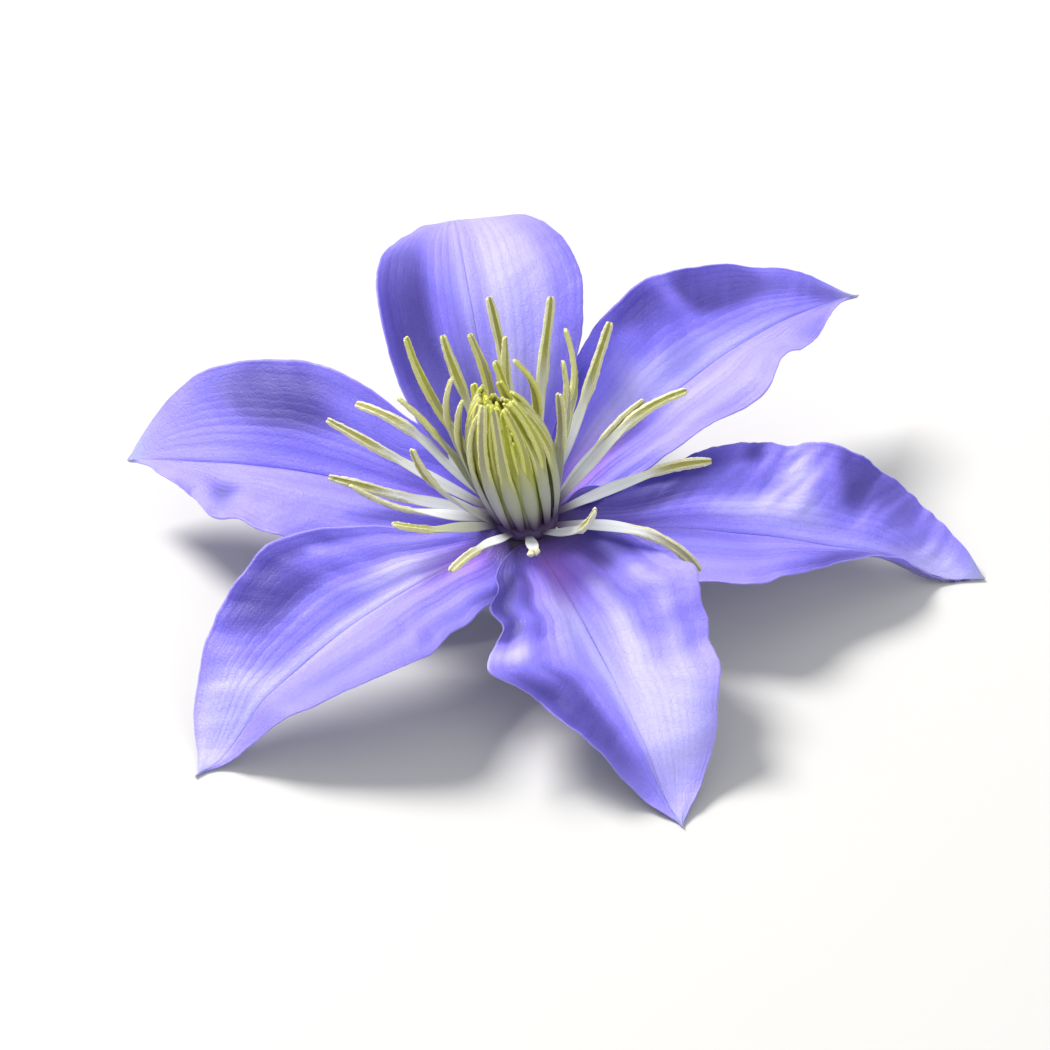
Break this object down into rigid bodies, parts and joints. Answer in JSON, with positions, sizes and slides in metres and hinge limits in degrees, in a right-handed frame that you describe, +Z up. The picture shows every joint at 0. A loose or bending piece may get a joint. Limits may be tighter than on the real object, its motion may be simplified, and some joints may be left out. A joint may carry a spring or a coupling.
{
  "type": "clematis flower",
  "caption": "Open clematis flower with pointed violet-blue sepals around a tuft of cream stamens, picked with a short piece of its stalk and lying face up.",
  "frame": {"origin": "on the surface that the flower lies on, under the middle of the flower's bounding box", "axes": "+Z up, nearly along the flower's axis and out of its face; +X towards the long keeled sepal; the cut end of the stalk lies towards +Y"},
  "size_m": [0.1, 0.0832, 0.0317],
  "materials": {
    "pedicel": "satin",
    "sepal": "velvety matte",
    "stamen": "matte",
    "style": "satin"
  },
  "bodies": {
    "root": {"pedicel": "pedicel", "sepal_back_left": "sepal", "sepal_back_right": "sepal", "sepal_right": "sepal", "sepal_front": "sepal", "sepal_front_left": "sepal", "sepal_left": "sepal", "stamens": "stamen", "styles": "style"}
  },
  "joints": []
}
